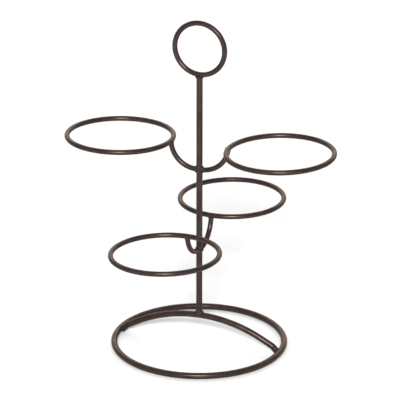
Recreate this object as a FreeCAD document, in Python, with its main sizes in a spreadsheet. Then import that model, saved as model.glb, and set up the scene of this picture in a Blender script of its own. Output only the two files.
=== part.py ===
import FreeCAD, Part
import math
import os
import Sketcher

# A welded rod stand with four open cup rings, in millimetres, +Z up.
# The origin is the centre of the base ring, on the table.
# +X points along the upper pair of arms, and the base arch runs along X too.

doc = FreeCAD.newDocument("mug_tree")

# ---- driving dimensions ------------------------------------------------------------------------

SIZES = [
    ("heavy_rod", 6.35, "diameter of the rod in the base ring, arch and stem"),
    ("light_rod", 5.2, "diameter of the rod in the arms, cup rings and finial ring"),
    ("base_radius", 86.6, "base ring, centre line"),
    ("arch_crown", 31.3, "height of the arch's centre line at the stem"),
    ("arch_radius", 142.0, "long curve of the arch, centre line"),
    ("arch_sweep", 28.0, "degrees of the long curve, each side of the crown"),
    ("arch_run", 12.5, "straight run below the long curve"),
    ("foot_radius", 6.0, "bend above each foot of the arch, centre line"),
    ("foot_sweep", 19.0, "degrees of that bend"),
    ("foot_run", 7.0, "straight foot of the arch, into the base ring's rod"),
    ("ring_radius", 53.4, "cup ring, centre line"),
    ("ring_reach", 84.2, "cup ring's centre from the stem's axis"),
    ("upper_level", 215.5, "height of the upper rings where the arms meet them"),
    ("lower_level", 129.0, "height of the lower rings where the arms meet them"),
    ("lower_turn", 86.0, "degrees from the upper pair of arms to the lower pair"),
    ("arm_root", 3.0, "straight run at an arm's root, from the stem's axis"),
    ("arm_bend", 27.0, "quarter bend of an arm, centre line"),
    ("sweep_right", 85.3, "degrees of the right arm's bend, which ends inside its ring's rod"),
    ("sweep_left", 85.3, "the same for the left arm"),
    ("sweep_back", 85.3, "the same for the back arm"),
    ("sweep_front", 83.2, "the same for the front arm"),
    ("drop_right", 26.0, "root of the right arm, below its ring"),
    ("drop_left", 26.0, "the same for the left arm"),
    ("drop_back", 26.0, "the same for the back arm"),
    ("drop_front", 25.0, "the same for the front arm, whose root stands a little high"),
    ("finial_radius", 26.4, "finial ring, centre line"),
    ("finial_height", 315.6, "centre of the finial ring"),
    ("finial_turn", -3.1, "degrees from the upper arms to the finial ring's plane"),
    ("cope", 1.2, "stem's cut ends, short of the centre lines of the rods they meet"),
    ("crown_weld", 4.5, "radius of the weld metal at the stem's foot"),
    ("crown_weld_rise", 1.6, "its centre, above the arch's centre line"),
    ("finial_weld", 4.0, "radius of the weld metal under the finial ring"),
    ("finial_weld_drop", 1.9, "its centre, below the centre line of the ring's rod"),
    ("foot_weld", 4.2, "radius of the weld metal at the arch's feet"),
    ("foot_weld_reach", 83.0, "its centre, from the stem's axis"),
    ("foot_weld_height", 4.4, "its centre, above the table"),
    ("root_weld", 3.8, "radius of the weld metal at an arm's root"),
    ("root_weld_reach", 2.4, "its centre, from the stem's axis"),
    ("tip_weld", 3.5, "radius of the weld metal at an arm's tip"),
    ("tip_weld_drop", 1.9, "its centre, below the centre line of the ring's rod"),
    ("rise_right", 1.1, "degrees that the right ring's far side is up, as welded"),
    ("rise_left", -0.1, "the same for the left ring"),
    ("rise_back", 0.0, "the same for the back ring"),
    ("rise_front", 0.9, "the same for the front ring"),
    ("lean_right", 0.1, "degrees that the right ring leans about its arm, as welded"),
    ("lean_left", 1.4, "the same for the left ring"),
    ("lean_back", -0.6, "the same for the back ring"),
    ("lean_front", 1.6, "the same for the front ring"),
]

sheet = doc.addObject("Spreadsheet::Sheet", "sizes")
for row, (alias, value, meaning) in enumerate(SIZES, start=1):
    sheet.set("A%d" % row, alias)
    sheet.set("B%d" % row, str(value))
    sheet.set("C%d" % row, meaning)
    sheet.setAlias("B%d" % row, alias)
doc.recompute()

# Each cup ring with its arm: its name, its level, and its turn from +X.
PLACES = [
    ("right", "upper_level", "0"),
    ("left", "upper_level", "180"),
    ("back", "lower_level", "sizes.lower_turn"),
    ("front", "lower_level", "sizes.lower_turn + 180"),
]

SUB_PARTS = []


def size(alias):
    """Read one driving dimension."""
    return float(sheet.get(alias))


def keep(obj, label):
    """Name a finished sub-part. Its label is also its file's name."""
    obj.Label = label
    SUB_PARTS.append(obj)
    return obj


def camel(prefix, side):
    """Make a document name such as ArmRight."""
    return prefix + side.capitalize()


# ---- placements, as expressions on the sheet -----------------------------------------------------

def place(x="0", z="0", turn="0", pitch="0", roll="0"):
    """Say a placement: a point, then turns about Z, Y and X in degrees."""
    return "placement(vector(%s; 0; %s); rotation(%s; %s; %s))" % (x, z, turn, pitch, roll)


# ---- sketches and rods ---------------------------------------------------------------------------

def add_sketch(body, name, role):
    """Put an empty sketch on one of the body's own origin planes."""
    sketch = body.newObject("Sketcher::SketchObject", name)
    plane = [feature for feature in body.Origin.OriginFeatures if feature.Role == role][0]
    sketch.AttachmentSupport = [(plane, "")]
    sketch.MapMode = "FlatFace"
    return sketch


def add_size(sketch, constraint, expression):
    """Add a dimension to a sketch and tie it to the sheet."""
    index = sketch.addConstraint(constraint)
    sketch.setExpression("Constraints[%d]" % index, expression)


def pin_to_axis(sketch, geometry, point, height):
    """Hold a point on the sketch's upright axis, at the origin or at a height from the sheet."""
    if height is None:
        sketch.addConstraint(Sketcher.Constraint("Coincident", geometry, point, -1, 1))
        return
    sketch.addConstraint(Sketcher.Constraint("PointOnObject", geometry, point, -2))
    rise = Sketcher.Constraint("DistanceY", -1, 1, geometry, point, size(height))
    add_size(sketch, rise, "sizes." + height)


def draw_section(body, role, rod, height=None):
    """Draw the round section of a rod."""
    sketch = add_sketch(body, body.Name + "Section", role)
    middle = FreeCAD.Vector(0, size(height) if height else 0, 0)
    up = FreeCAD.Vector(0, 0, 1)
    circle = sketch.addGeometry(Part.Circle(middle, up, size(rod) / 2), False)
    pin_to_axis(sketch, circle, 3, height)
    add_size(sketch, Sketcher.Constraint("Diameter", circle, size(rod)), "sizes." + rod)
    return sketch


def draw_run(sketch, point, heading, length):
    """Draw a straight run of a rod's centre line."""
    ahead = FreeCAD.Vector(math.cos(heading), math.sin(heading), 0)
    end = point + ahead * size(length)
    line = sketch.addGeometry(Part.LineSegment(point, end), False)
    add_size(sketch, Sketcher.Constraint("Distance", line, size(length)), "sizes." + length)
    return line, 1, 2, end, heading


def draw_bend(sketch, point, heading, radius, sweep, rising):
    """Draw a bend of a rod's centre line, rising or falling. A sketch arc always runs anticlockwise."""
    side = 1 if rising else -1
    turn = math.radians(size(sweep))
    across = FreeCAD.Vector(-math.sin(heading), math.cos(heading), 0) * (side * size(radius))
    hub = point + across
    circle = Part.Circle(hub, FreeCAD.Vector(0, 0, 1), size(radius))
    start = heading - side * math.pi / 2
    first, last = (start, start + turn) if rising else (start - turn, start)
    arc = sketch.addGeometry(Part.ArcOfCircle(circle, first, last), False)
    add_size(sketch, Sketcher.Constraint("Radius", arc, size(radius)), "sizes." + radius)
    add_size(sketch, Sketcher.Constraint("Angle", arc, turn), "sizes." + sweep)
    end_heading = heading + side * turn
    spoke = FreeCAD.Vector(-math.sin(end_heading), math.cos(end_heading), 0) * (side * size(radius))
    near, far = (1, 2) if rising else (2, 1)
    return arc, near, far, hub - spoke, end_heading


def draw_path(body, steps, height=None):
    """Draw a rod's centre line from the upright axis outwards: runs and bends, each tangent to the last."""
    sketch = add_sketch(body, body.Name + "Path", "XZ_Plane")
    point = FreeCAD.Vector(0, size(height) if height else 0, 0)
    heading = 0.0
    previous = None
    for step in steps:
        if step[0] == "run":
            piece, near, far, point, heading = draw_run(sketch, point, heading, step[1])
        else:
            rising = step[0] == "rise"
            piece, near, far, point, heading = draw_bend(sketch, point, heading, step[1], step[2], rising)
        if previous:
            sketch.addConstraint(Sketcher.Constraint("Tangent", previous[0], previous[1], piece, near))
        else:
            pin_to_axis(sketch, piece, near, height)
            level = ("Horizontal", piece) if step[0] == "run" else ("PointOnObject", piece, 3, -2)
            sketch.addConstraint(Sketcher.Constraint(*level))
        previous = (piece, far)
    return sketch


def sweep_rod(body, rod, steps, height=None):
    """Sweep a rod's section along its centre line."""
    section = draw_section(body, "YZ_Plane", rod, height)
    path = draw_path(body, steps, height)
    pipe = body.newObject("PartDesign::AdditivePipe", body.Name + "Rod")
    pipe.Profile = section
    pipe.Spine = path
    body.Tip = pipe
    return pipe


def make_ring(name, radius, rod, placement):
    """Make a ring of round rod."""
    ring = doc.addObject("Part::Torus", name)
    ring.setExpression("Radius1", "sizes." + radius)
    ring.setExpression("Radius2", "sizes.%s / 2" % rod)
    ring.setExpression("Placement", placement)
    return ring


def cut_back(name, base, tools):
    """Cut an object back to the surfaces of its neighbours, so that they meet face to face."""
    for count, tool in enumerate(tools, start=1):
        doc.recompute()
        shorter = doc.addObject("Part::Cut", "%sCut%d" % (name, count))
        shorter.Base = base
        shorter.Tool = tool
        base = shorter
    return base


# ---- base, stem and finial -----------------------------------------------------------------------

def make_base_arch(base_ring):
    """Bend half of the arch, mirror it, and cut its feet to the base ring."""
    body = doc.addObject("PartDesign::Body", "ArchBody")
    steps = [
        ("fall", "arch_radius", "arch_sweep"),
        ("run", "arch_run"),
        ("fall", "foot_radius", "foot_sweep"),
        ("run", "foot_run"),
    ]
    half = sweep_rod(body, "heavy_rod", steps, "arch_crown")
    whole = body.newObject("PartDesign::Mirrored", "ArchWhole")
    whole.Originals = [half]
    plane = [feature for feature in body.Origin.OriginFeatures if feature.Role == "YZ_Plane"][0]
    whole.MirrorPlane = (plane, [""])
    body.Tip = whole
    return keep(cut_back("Arch", body, [base_ring]), "base_arch")


def make_stem(base_arch, finial_ring):
    """Stand the stem on the arch's crown, with both ends coped to the rods that they meet."""
    body = doc.addObject("PartDesign::Body", "StemBody")
    section = draw_section(body, "XY_Plane", "heavy_rod")
    pad = body.newObject("PartDesign::Pad", "StemRod")
    pad.Profile = section
    length = "sizes.finial_height - sizes.finial_radius - sizes.arch_crown - 2 * sizes.cope"
    pad.setExpression("Length", length)
    # The turn keeps the seam line of the stem's round face clear of the arms.
    body.setExpression("Placement", place(z="sizes.arch_crown + sizes.cope", turn="45"))
    return keep(cut_back("Stem", body, [base_arch, finial_ring]), "stem")


# ---- arms and cup rings --------------------------------------------------------------------------

def make_cup_ring(side, level, turn):
    """Place a cup ring so that it tips a little about its arm's tip, as welded."""
    stand = place(z="sizes." + level, turn=turn)
    rise = "-sizes.rise_" + side
    tip = place(x="sizes.ring_reach - sizes.ring_radius", pitch=rise, roll="sizes.lean_" + side)
    centre = place(x="sizes.ring_radius")
    where = " * ".join([stand, tip, centre])
    ring = make_ring(camel("CupRing", side), "ring_radius", "light_rod", where)
    return keep(ring, "cup_ring_" + side)


def root_height(side, level):
    """Height of an arm's centre line where it leaves the stem."""
    return "sizes.%s - sizes.drop_%s" % (level, side)


def make_arm(side, level, turn, stem, cup_ring):
    """Bend an arm from the stem's side to the underside of its cup ring."""
    body = doc.addObject("PartDesign::Body", camel("ArmBody", side))
    sweep_rod(body, "light_rod", [("run", "arm_root"), ("rise", "arm_bend", "sweep_" + side)])
    body.setExpression("Placement", place(z=root_height(side, level), turn=turn))
    return keep(cut_back(camel("Arm", side), body, [stem, cup_ring]), "arm_" + side)


# ---- weld metal ----------------------------------------------------------------------------------

def make_weld(name, label, radius, placement, neighbours):
    """Lay a bead of weld metal over a joint, and cut it to the rods that it joins."""
    bead = doc.addObject("Part::Sphere", name)
    bead.setExpression("Radius", "sizes." + radius)
    bead.setExpression("Placement", placement)
    return keep(cut_back(name, bead, neighbours), label)


def make_stem_welds(stem, base_arch, finial_ring):
    top = place(z="sizes.finial_height - sizes.finial_radius - sizes.finial_weld_drop", turn="45")
    make_weld("WeldFinial", "weld_finial", "finial_weld", top, [stem, finial_ring])
    foot = place(z="sizes.arch_crown + sizes.crown_weld_rise", turn="45")
    make_weld("WeldStemFoot", "weld_stem_foot", "crown_weld", foot, [stem, base_arch])


def make_foot_weld(side, turn, base_arch, base_ring):
    stand = place(z="sizes.foot_weld_height", turn=turn)
    middle = stand + " * " + place(x="sizes.foot_weld_reach", turn="30")
    make_weld(camel("WeldArch", side), "weld_arch_" + side, "foot_weld", middle, [base_arch, base_ring])


def make_arm_welds(side, level, turn, stem, arm, cup_ring):
    arm_root = place(z=root_height(side, level), turn=turn)
    root = arm_root + " * " + place(x="sizes.root_weld_reach", turn="30")
    make_weld(camel("WeldRoot", side), "weld_root_" + side, "root_weld", root, [arm, stem])
    arm_tip = place(z="sizes.%s - sizes.tip_weld_drop" % level, turn=turn)
    tip = arm_tip + " * " + place(x="sizes.arm_root + sizes.arm_bend", turn="30")
    make_weld(camel("WeldTip", side), "weld_tip_" + side, "tip_weld", tip, [arm, cup_ring])


# ---- assembly ------------------------------------------------------------------------------------

def build():
    flat = place(z="sizes.heavy_rod / 2")
    base_ring = keep(make_ring("BaseRing", "base_radius", "heavy_rod", flat), "base_ring")
    upright = place(z="sizes.finial_height", turn="sizes.finial_turn", roll="90")
    finial_ring = keep(make_ring("FinialRing", "finial_radius", "light_rod", upright), "finial_ring")
    base_arch = make_base_arch(base_ring)
    stem = make_stem(base_arch, finial_ring)
    make_stem_welds(stem, base_arch, finial_ring)
    for side, turn in (("right", "0"), ("left", "180")):
        make_foot_weld(side, turn, base_arch, base_ring)
    for side, level, turn in PLACES:
        cup_ring = make_cup_ring(side, level, turn)
        arm = make_arm(side, level, turn, stem, cup_ring)
        make_arm_welds(side, level, turn, stem, arm, cup_ring)
    doc.recompute()


def check_document():
    """Stop if any object failed, or if a sub-part isn't one or more valid solids."""
    for obj in doc.Objects:
        if "Invalid" in obj.State or "Error" in obj.State:
            raise RuntimeError("%s failed: %s" % (obj.Name, obj.State))
    for obj in SUB_PARTS:
        if obj.Shape.isNull() or not obj.Shape.isValid() or not obj.Shape.Solids:
            raise RuntimeError("%s has no valid solid" % obj.Label)


def write_files():
    os.makedirs("parts", exist_ok=True)
    for obj in SUB_PARTS:
        obj.Shape.exportStep("parts/%s.step" % obj.Label)
        print("%-18s %d solid %10.2f mm3" % (obj.Label, len(obj.Shape.Solids), obj.Shape.Volume))


build()
check_document()
write_files()
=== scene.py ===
import math
import random

import bpy
import numpy as np
from mathutils import Matrix, Vector


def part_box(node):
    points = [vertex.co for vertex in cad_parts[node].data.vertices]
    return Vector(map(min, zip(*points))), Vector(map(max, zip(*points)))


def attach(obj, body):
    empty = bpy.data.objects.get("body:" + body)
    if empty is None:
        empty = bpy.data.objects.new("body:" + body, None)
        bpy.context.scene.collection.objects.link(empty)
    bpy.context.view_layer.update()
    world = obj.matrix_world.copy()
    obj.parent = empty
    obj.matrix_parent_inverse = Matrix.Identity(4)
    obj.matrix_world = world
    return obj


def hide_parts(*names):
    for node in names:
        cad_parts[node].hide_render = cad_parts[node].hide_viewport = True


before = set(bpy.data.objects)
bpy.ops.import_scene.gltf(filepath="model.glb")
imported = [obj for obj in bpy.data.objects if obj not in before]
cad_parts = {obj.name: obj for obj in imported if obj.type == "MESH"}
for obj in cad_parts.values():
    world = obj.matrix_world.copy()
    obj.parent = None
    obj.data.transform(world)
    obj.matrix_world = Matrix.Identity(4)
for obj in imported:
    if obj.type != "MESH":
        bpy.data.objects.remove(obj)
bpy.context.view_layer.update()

random.seed(12)

# ---- driving sizes: lengths in metres, angles in degrees ------------------------------------------

MM = 0.001
EAST = Vector((1, 0, 0))             # along the upper pair of arms and along the arch
NORTH = Vector((0, 1, 0))
UP = Vector((0, 0, 1))


def span(node):
    """Widths of a CAD node along X, Y and Z."""
    low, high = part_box(node)
    return high - low


HEAVY = span("base_ring").z / 2      # radius of the heavy rod
LIGHT = span("arm_right").y / 2      # radius of the light rod
SECTION = 28                         # sides of a rod's round section
FACET = 0.9 * MM                     # length of a rod's facets along its centre line
SINK = 1.2 * MM                      # how far a rod's end goes into the rod that it meets

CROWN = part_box("base_arch")[1].z - HEAVY     # height of the arch's centre line at its crown
ARCH_BEND = 142 * MM
ARCH_SWEEP = 28
ARCH_RUN = 12.5 * MM
FOOT_BEND = 6 * MM
FOOT_SWEEP = 19
FOOT_RUN = 7 * MM

ARM_ROOT = 3 * MM                    # where an arm's bend starts, from the stem's axis
ARM_BEND = 27 * MM
ARM_SWEEP = 85.3
FRONT_SWEEP = 83.2                   # the front arm's root stands a little high
ARM_TURNS = {"right": 0, "left": 180, "back": 86, "front": -94}

ARCH_RIM = 0.3 * MM                  # rims taken off the cut ends
ROD_RIM = 0.2 * MM
WAVE_DEPTH = 0.08 * MM               # waviness of drawn stock
WAVE_LENGTH = 9 * MM
DROP = 1.0 * MM                      # usual drop of weld metal
FINE_DROP = 0.5 * MM                 # at the arms' tips, where little metal stands proud
FOOT_DROP = 0.6 * MM
CROWN_DROP = 1.2 * MM
FINIAL_DROP = 0.9 * MM
WELD_GRAIN = 0.25 * MM               # fineness of the melted bead


# ---- steps of modelling -----------------------------------------------------------------------------

def deselect():
    if bpy.context.mode != "OBJECT":
        bpy.ops.object.mode_set(mode="OBJECT")
    bpy.ops.object.select_all(action="DESELECT")


def pick(*pieces):
    """Make these pieces the only selected ones. The last of them is the active one."""
    deselect()
    for piece in pieces:
        piece.select_set(True)
    bpy.context.view_layer.objects.active = pieces[-1]


def edit(piece):
    pick(piece)
    bpy.ops.object.mode_set(mode="EDIT")
    bpy.ops.mesh.select_all(action="SELECT")


def settle(piece):
    """Fix the piece where it lies, so that it sits unturned and unscaled at the origin."""
    pick(piece)
    bpy.ops.object.transform_apply(location=True, rotation=True, scale=True)


def apply_modifier(piece, modifier):
    pick(piece)
    bpy.ops.object.modifier_apply(modifier=modifier.name)


def facing(heading, hint):
    """Turn that puts Z along the heading and X as near as it can to the hint."""
    z = heading.normalized()
    x = (hint - z * hint.dot(z)).normalized()
    return Matrix((x, z.cross(x), z)).transposed()


def copy_piece(piece, name):
    """Copy a piece with a mesh of its own."""
    pick(piece)
    bpy.ops.object.duplicate(linked=False)
    copy = bpy.context.object
    copy.name = copy.data.name = name
    return copy


def fit_to_frame(piece, node, material):
    """Hand a finished piece over: it stands for its CAD node and takes the record's slot."""
    piece.data.materials.clear()
    piece.data.materials.append(material)
    pick(piece)
    bpy.ops.object.shade_smooth_by_angle(angle=math.radians(40))
    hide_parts(node)
    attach(piece, "root")


# ---- rods -------------------------------------------------------------------------------------------

def start_section(name, middle, heading, hint, radius, fill):
    """Stand the round section of a rod across its centre line and open it for editing."""
    deselect()
    turn = facing(heading, hint).to_euler()
    bpy.ops.mesh.primitive_circle_add(vertices=SECTION, radius=radius, fill_type=fill,
                                      location=middle, rotation=turn)
    piece = bpy.context.object
    piece.name = piece.data.name = name
    settle(piece)
    edit(piece)
    return piece


def close_mesh():
    """Merge what meets and turn every face outwards."""
    bpy.ops.mesh.select_all(action="SELECT")
    bpy.ops.mesh.remove_doubles(threshold=0.001 * MM)
    bpy.ops.mesh.normals_make_consistent(inside=False)


class Rod:
    """A round rod that is drawn out of its section, and that is bent in one plane as it goes."""

    def __init__(self, name, start, heading, side, radius):
        self.end = start
        self.heading = heading.normalized()
        self.side = side
        self.piece = start_section(name, start, heading, side, radius, "NGON")

    def run(self, length):
        """Draw a straight run."""
        steps = max(1, round(length / FACET))
        for _ in range(steps):
            bpy.ops.mesh.extrude_region_move(
                TRANSFORM_OT_translate={"value": self.heading * length / steps})
        self.end = self.end + self.heading * length

    def bend(self, reach, sweep):
        """Draw a bend. A positive sweep turns the heading round the side axis, right-handed."""
        angle = math.radians(sweep)
        inwards = self.side.cross(self.heading) * math.copysign(1, sweep)
        hub = self.end + inwards * reach
        steps = max(4, round(abs(angle) * reach / FACET))
        bpy.ops.mesh.spin(steps=steps, angle=-angle, center=hub, axis=self.side)
        turn = Matrix.Rotation(angle, 3, self.side)
        self.end = hub + turn @ (self.end - hub)
        self.heading = turn @ self.heading

    def cut_off(self, rim):
        """Take the sharp rims off both cut ends, and hand the rod over."""
        close_mesh()
        bpy.ops.mesh.select_all(action="DESELECT")
        bpy.ops.object.mode_set(mode="OBJECT")
        for face in self.piece.data.polygons:
            face.select = len(face.vertices) == SECTION
        bpy.ops.object.mode_set(mode="EDIT")
        bpy.ops.mesh.bevel(offset=rim, segments=2, profile=0.6, affect="EDGES")
        deselect()
        return self.piece


def roll_ring(name, centre, axis, radius, rod, joint):
    """Roll a rod to a ring. Its two ends meet on the side that the joint points to."""
    out = (joint - axis * joint.dot(axis)).normalized()
    ring = start_section(name, centre + out * radius, axis.cross(out), out, rod, "NOTHING")
    steps = round(2 * math.pi * radius / FACET)
    bpy.ops.mesh.spin(steps=steps, angle=2 * math.pi, center=centre, axis=axis, use_auto_merge=True)
    close_mesh()
    deselect()
    return ring


def ring_frame(node, rod):
    """Find a ring's centre, axis and centre-line radius from its CAD node."""
    low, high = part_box(node)
    centre = (low + high) / 2
    points = np.array([v.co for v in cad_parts[node].data.vertices]) - np.array(centre)
    axis = Vector(np.linalg.svd(points - points.mean(0), full_matrices=False)[2][2])
    if axis.z + axis.y < 0:
        axis = -axis
    flat = points - np.outer(points @ np.array(axis), np.array(axis))
    return centre, axis, float(np.linalg.norm(flat, axis=1).max()) - rod


def make_uneven(rod, depth, size):
    """Give a rod the slight waviness of drawn stock under its coat."""
    waves = bpy.data.textures.new("drawn_stock", "CLOUDS")
    waves.noise_scale = size
    waves.noise_depth = 1
    modifier = rod.modifiers.new("uneven", "DISPLACE")
    modifier.texture = waves
    modifier.texture_coords = "LOCAL"
    modifier.strength = depth
    modifier.mid_level = 0.5
    apply_modifier(rod, modifier)


def arch_foot(way):
    """End of the arch's centre line at the foot on one side, and its heading there."""
    lean = math.radians(ARCH_SWEEP)
    steep = math.radians(ARCH_SWEEP + FOOT_SWEEP)
    above_lean = way * math.sin(lean) + UP * math.cos(lean)
    above_steep = way * math.sin(steep) + UP * math.cos(steep)
    end = UP * (CROWN - ARCH_BEND) + above_lean * ARCH_BEND
    end += (way * math.cos(lean) - UP * math.sin(lean)) * ARCH_RUN
    end += (above_steep - above_lean) * FOOT_BEND
    heading = way * math.cos(steep) - UP * math.sin(steep)
    return end + heading * FOOT_RUN, heading


def make_arch():
    """Bend a heavy rod from the left foot over the crown to the right foot."""
    left_end, heading = arch_foot(-EAST)
    rod = Rod("base_arch_rod", left_end, -heading, NORTH, HEAVY)
    rod.run(FOOT_RUN)
    rod.bend(FOOT_BEND, FOOT_SWEEP)
    rod.run(ARCH_RUN)
    rod.bend(ARCH_BEND, 2 * ARCH_SWEEP)
    rod.run(ARCH_RUN)
    rod.bend(FOOT_BEND, FOOT_SWEEP)
    rod.run(FOOT_RUN)
    return rod.cut_off(ARCH_RIM)


def make_stem():
    """Cut a heavy rod to stand on the arch's crown and carry the finial."""
    foot = CROWN + HEAVY - SINK
    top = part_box("finial_ring")[0].z + SINK
    rod = Rod("stem_rod", Vector((0, 0, foot)), UP, EAST, HEAVY)
    rod.run(top - foot)
    return rod.cut_off(ROD_RIM)


def make_arm(name, sweep):
    """Bend a light rod to the quarter round of an arm, level with the stem's axis at its root."""
    start = HEAVY - SINK
    rod = Rod(name, EAST * start, EAST, -NORTH, LIGHT)
    rod.run(ARM_ROOT - start)
    rod.bend(ARM_BEND, sweep)
    return rod.cut_off(ROD_RIM), rod.end, rod.heading


# ---- welds ------------------------------------------------------------------------------------------

def bead_path(end, heading, radius, across_at, across_axis, across_radius, top, sweep, count):
    """Points around a rod's end where its skin meets the rod that it runs into."""
    frame_of_end = facing(heading, top)
    reach = min(radius, 0.75 * across_radius)
    for i in range(count):
        angle = math.radians(sweep) * ((i + 0.5) / count - 0.5)
        out = frame_of_end @ Vector((math.cos(angle), math.sin(angle), 0))
        start = end - heading * 4 * across_radius + out * reach - across_at
        start -= across_axis * start.dot(across_axis)
        along = heading - across_axis * heading.dot(across_axis)
        a, b, c = along.dot(along), start.dot(along), start.dot(start) - across_radius ** 2
        travel = (-b - math.sqrt(max(0, b * b - a * c))) / a
        yield end + heading * (travel - 4 * across_radius) + out * radius, out


def lay_bead(name, end, heading, radius, across_at, across_axis, across_radius, top,
             sweep=360, drop=DROP, count=14):
    """Lay drops of weld metal in a row around a rod's end and melt them into one bead."""
    drops = []
    for at, out in bead_path(end, heading, radius, across_at, across_axis, across_radius, top,
                             sweep, count):
        size = drop * random.uniform(0.88, 1.12)
        at = at + out * drop * random.uniform(0.1, 0.3) - heading * drop * random.uniform(0.1, 0.35)
        deselect()
        bpy.ops.mesh.primitive_ico_sphere_add(subdivisions=3, radius=size, location=at)
        drops.append(bpy.context.object)
    deselect()
    bpy.ops.mesh.primitive_ico_sphere_add(subdivisions=3, radius=radius * 1.05,
                                          location=end - heading * 0.4 * radius)
    pick(*drops, bpy.context.object)
    bpy.ops.object.join()
    bead = bpy.context.object
    bead.name = bead.data.name = name
    settle(bead)
    melt = bead.modifiers.new("melt", "REMESH")
    melt.mode = "VOXEL"
    melt.voxel_size = WELD_GRAIN
    apply_modifier(bead, melt)
    edit(bead)
    bpy.ops.mesh.vertices_smooth(factor=0.5, repeat=4)
    bpy.ops.mesh.normals_make_consistent(inside=False)
    deselect()
    return bead


# ---- finishes ---------------------------------------------------------------------------------------

class Finish:
    """A node material that is built up from the shader outwards."""

    def __init__(self, name):
        self.material = bpy.data.materials.new(name)
        self.material.use_nodes = True
        self.tree = self.material.node_tree
        self.shader = self.tree.nodes["Principled BSDF"]
        self.place = self.tree.nodes.new("ShaderNodeTexCoord").outputs["Object"]

    def add(self, kind, **settings):
        node = self.tree.nodes.new("ShaderNode" + kind)
        for setting, value in settings.items():
            setattr(node, setting, value)
        return node

    def wire(self, source, target):
        self.tree.links.new(source, target)

    def noise(self, scale, detail, roughness=0.5):
        node = self.add("TexNoise")
        node.inputs["Scale"].default_value = scale
        node.inputs["Detail"].default_value = detail
        node.inputs["Roughness"].default_value = roughness
        self.wire(self.place, node.inputs["Vector"])
        return node.outputs["Fac"]

    def ramp(self, source, stops):
        node = self.add("ValToRGB")
        elements = node.color_ramp.elements
        while len(elements) < len(stops):
            elements.new(0.5)
        for element, (position, colour) in zip(elements, stops):
            element.position = position
            element.color = (*colour, 1)
        self.wire(source, node.inputs["Fac"])
        return node.outputs["Color"]

    def spread(self, source, low, high, new_low, new_high):
        node = self.add("MapRange")
        for socket, value in zip(node.inputs[1:5], (low, high, new_low, new_high)):
            socket.default_value = value
        self.wire(source, node.inputs["Value"])
        return node.outputs["Result"]

    def times(self, one, other, operation="MULTIPLY"):
        node = self.add("Math", operation=operation)
        self.wire(one, node.inputs[0])
        self.wire(other, node.inputs[1])
        return node.outputs["Value"]

    def blend(self, amount, one, other, how="MIX"):
        node = self.add("MixRGB", blend_type=how)
        self.wire(amount, node.inputs["Fac"])
        self.wire(one, node.inputs["Color1"])
        if isinstance(other, tuple):
            node.inputs["Color2"].default_value = (*other, 1)
        else:
            self.wire(other, node.inputs["Color2"])
        return node.outputs["Color"]

    def bump(self, height, strength, distance, under=None):
        node = self.add("Bump")
        node.inputs["Strength"].default_value = strength
        node.inputs["Distance"].default_value = distance
        self.wire(height, node.inputs["Height"])
        if under:
            self.wire(under, node.inputs["Normal"])
        return node.outputs["Normal"]


COAT_DARK = (0.034, 0.024, 0.022)
COAT_BROWN = (0.050, 0.036, 0.033)
COAT_WARM = (0.065, 0.046, 0.040)
COAT_SPECK = (0.090, 0.070, 0.056)
# The lighter warm brown below goes on upward faces: partly worn coat, partly painted light falling on
# the tops.
COAT_WORN_AND_TOP_LIT = (0.150, 0.110, 0.080)
COAT_EDGE_TINT = (0.70, 0.57, 0.46)  # what the coat mirrors at a grazing angle
PEEL_DEPTH = 0.03 * MM               # coarse pebble of the sprayed coat
GRAIN_DEPTH = 0.005 * MM


def make_coat(name, low_roughness, high_roughness, peel):
    """A satin bronze-brown coat: mottled, finely pebbled, and worn lighter warm brown in patches on
    what faces up, which also paints the light that falls on the tops.
    """
    coat = Finish(name)
    mottle = coat.ramp(coat.noise(70, 5, 0.6),
                       [(0.3, COAT_DARK), (0.55, COAT_BROWN), (0.75, COAT_WARM)])
    specks = coat.spread(coat.noise(1400, 3, 0.7), 0.55, 0.75, 0, 0.6)
    colour = coat.blend(specks, mottle, COAT_SPECK)
    normal = coat.add("NewGeometry").outputs["Normal"]
    lift = coat.add("SeparateXYZ")
    coat.wire(normal, lift.inputs[0])
    # Upward-facing mask: lightens the tops in patches, partly wear and partly painted top light.
    top = coat.spread(lift.outputs["Z"], 0.75, 1, 0, 1)
    patches = coat.spread(coat.noise(160, 6, 0.65), 0.5, 0.72, 0, 0.7)
    worn_and_top_lit = coat.times(top, patches)
    colour = coat.blend(worn_and_top_lit, colour, COAT_WORN_AND_TOP_LIT)
    coat.wire(colour, coat.shader.inputs["Base Color"])
    sheen = coat.spread(coat.noise(220, 4, 0.6), 0.3, 0.7, low_roughness, high_roughness)
    coat.wire(sheen, coat.shader.inputs["Roughness"])
    pebble = coat.bump(coat.noise(700, 2), peel, PEEL_DEPTH)
    grain = coat.bump(coat.noise(3000, 2), peel, GRAIN_DEPTH, pebble)
    coat.wire(grain, coat.shader.inputs["Normal"])
    coat.shader.inputs["Metallic"].default_value = 0.6
    coat.shader.inputs["IOR"].default_value = 1.3
    coat.shader.inputs["Specular Tint"].default_value = (*COAT_EDGE_TINT, 1)
    return coat.material


rod_coat = make_coat("satin_bronze_coat", 0.25, 0.33, 0.25)
weld_coat = make_coat("weld_bronze_coat", 0.34, 0.46, 0.5)


# ---- the stand --------------------------------------------------------------------------------------

def finish_rod(rod, node):
    make_uneven(rod, WAVE_DEPTH, WAVE_LENGTH)
    fit_to_frame(rod, node, rod_coat)


finish_rod(roll_ring("base_ring_rod", *ring_frame("base_ring", HEAVY), HEAVY, EAST), "base_ring")
finish_rod(make_arch(), "base_arch")
finish_rod(make_stem(), "stem")

finial_centre, finial_axis, finial_radius = ring_frame("finial_ring", LIGHT)
finish_rod(roll_ring("finial_ring_rod", finial_centre, finial_axis, finial_radius, LIGHT, -UP),
           "finial_ring")

arm_models = {"front": make_arm("front_arm", FRONT_SWEEP), "others": make_arm("arm", ARM_SWEEP)}
ring_radius = ring_frame("cup_ring_right", LIGHT)[2]
ring_model = roll_ring("cup_ring", Vector(), UP, ring_radius, LIGHT, -EAST)

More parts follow.
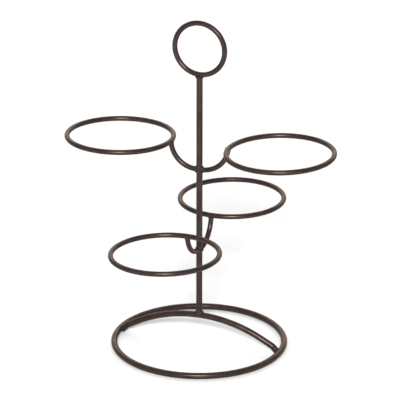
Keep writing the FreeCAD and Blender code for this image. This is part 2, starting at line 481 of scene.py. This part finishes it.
for side, turn in ARM_TURNS.items():
    around = Matrix.Rotation(math.radians(turn), 3, UP)
    root = UP * (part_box("arm_" + side)[0].z + LIGHT)
    arm_model, arm_tip, arm_heading = arm_models.get(side, arm_models["others"])
    arm = copy_piece(arm_model, "arm_rod_" + side)
    arm.location = root
    arm.rotation_euler = around.to_euler()
    settle(arm)
    finish_rod(arm, "arm_" + side)

    centre, axis, _ = ring_frame("cup_ring_" + side, LIGHT)
    ring = copy_piece(ring_model, "cup_ring_rod_" + side)
    ring.location = centre
    ring.rotation_euler = facing(axis, around @ EAST).to_euler()
    settle(ring)
    finish_rod(ring, "cup_ring_" + side)

    out = around @ EAST
    bead = lay_bead("weld_bead_root_" + side, root + out * HEAVY, -out, LIGHT, root, UP, HEAVY, UP)
    fit_to_frame(bead, "weld_root_" + side, weld_coat)
    near = centre - (out - axis * out.dot(axis)).normalized() * ring_radius
    tip = root + around @ arm_tip
    bead = lay_bead("weld_bead_tip_" + side, tip, around @ arm_heading, LIGHT, near,
                    axis.cross(out).normalized(), LIGHT, out,
                    drop=FINE_DROP, count=24)
    fit_to_frame(bead, "weld_tip_" + side, weld_coat)

for model in (arm_models["front"][0], arm_models["others"][0], ring_model):
    bpy.data.objects.remove(model)

crown = UP * CROWN
bead = lay_bead("weld_bead_stem_foot", crown + UP * HEAVY, -UP, HEAVY, crown, EAST, HEAVY, EAST,
                drop=CROWN_DROP, count=16)
fit_to_frame(bead, "weld_stem_foot", weld_coat)
finial_low = finial_centre - UP * finial_radius
bead = lay_bead("weld_bead_finial", finial_low - UP * LIGHT, UP, HEAVY, finial_low,
                finial_axis.cross(UP), LIGHT, EAST, drop=FINIAL_DROP, count=16)
fit_to_frame(bead, "weld_finial", weld_coat)

base_radius = ring_frame("base_ring", HEAVY)[2]
for side, way in (("right", EAST), ("left", -EAST)):
    foot_end, heading = arch_foot(way)
    ring_side = way * base_radius + UP * HEAVY
    bead = lay_bead("weld_bead_arch_" + side, foot_end - heading * HEAVY, heading, HEAVY, ring_side,
                    NORTH, HEAVY, UP, sweep=170, drop=FOOT_DROP, count=18)
    fit_to_frame(bead, "weld_arch_" + side, weld_coat)


# ---- the studio -------------------------------------------------------------------------------------

CAMERA_AZIMUTH = 19.47
CAMERA_ELEVATION = 21.37
CAMERA_ROLL = 0.1
CAMERA_DISTANCE = 2.7565
CAMERA_LENS = 247.9
AIM = Vector((0, 0, 0.1567))
AIM_ASIDE = 0.6 * MM                 # to the right of the stem, as the camera sees it
FLOOR_SIZE = 9
WORLD_LIGHT = 0.47
# Each soft box: azimuth from the camera's and elevation in degrees, distance, width, height, watts.
SOFT_BOXES = {
    "key_box": (-2, 28, 3.2, 0.8, 0.3, 110),
    "back_box": (180, 32, 3, 5, 2.4, 68),
}


def look_from(azimuth, elevation):
    """Direction from the aim towards the camera."""
    a, e = math.radians(azimuth), math.radians(elevation)
    return Vector((math.sin(a) * math.cos(e), -math.cos(a) * math.cos(e), math.sin(e)))


def make_camera():
    lens = bpy.data.cameras.new("camera")
    lens.lens = CAMERA_LENS
    lens.sensor_width = 36
    lens.clip_end = 50
    camera = bpy.data.objects.new("camera", lens)
    bpy.context.scene.collection.objects.link(camera)
    back = look_from(CAMERA_AZIMUTH, CAMERA_ELEVATION)
    right = UP.cross(back).normalized()
    camera.location = AIM + right * AIM_ASIDE + back * CAMERA_DISTANCE
    turn = facing(back, right) @ Matrix.Rotation(math.radians(CAMERA_ROLL), 3, "Z")
    camera.rotation_euler = turn.to_euler()
    bpy.context.scene.camera = camera


def make_light(name, azimuth, elevation, distance, width, height, power):
    """Hang a soft box that looks at the middle of the stand."""
    lamp = bpy.data.lights.new(name, "AREA")
    lamp.shape = "RECTANGLE"
    lamp.size = width
    lamp.size_y = height
    lamp.energy = power
    box = bpy.data.objects.new(name, lamp)
    bpy.context.scene.collection.objects.link(box)
    way = look_from(azimuth, elevation)
    box.location = AIM + way * distance
    box.rotation_euler = way.to_track_quat("Z", "Y").to_euler()


def make_floor():
    deselect()
    bpy.ops.mesh.primitive_plane_add(size=FLOOR_SIZE, location=(0, 0, 0))
    floor = bpy.context.object
    floor.name = "studio_floor"
    paper = Finish("pale_paper")
    tone = paper.ramp(paper.noise(3, 2), [(0.3, (0.90, 0.90, 0.90)), (0.7, (0.92, 0.92, 0.92))])
    paper.wire(tone, paper.shader.inputs["Base Color"])
    paper.shader.inputs["Roughness"].default_value = 0.9
    paper.shader.inputs["Specular IOR Level"].default_value = 0.1
    floor.data.materials.append(paper.material)


def make_studio():
    make_floor()
    for name, (turn, *box) in SOFT_BOXES.items():
        make_light(name, CAMERA_AZIMUTH + turn, *box)
    world = bpy.data.worlds.new("studio")
    world.use_nodes = True
    world.node_tree.nodes["Background"].inputs["Color"].default_value = (1, 1, 1, 1)
    world.node_tree.nodes["Background"].inputs["Strength"].default_value = WORLD_LIGHT
    bpy.context.scene.world = world
    bpy.context.scene.view_settings.view_transform = "Standard"


make_studio()
make_camera()
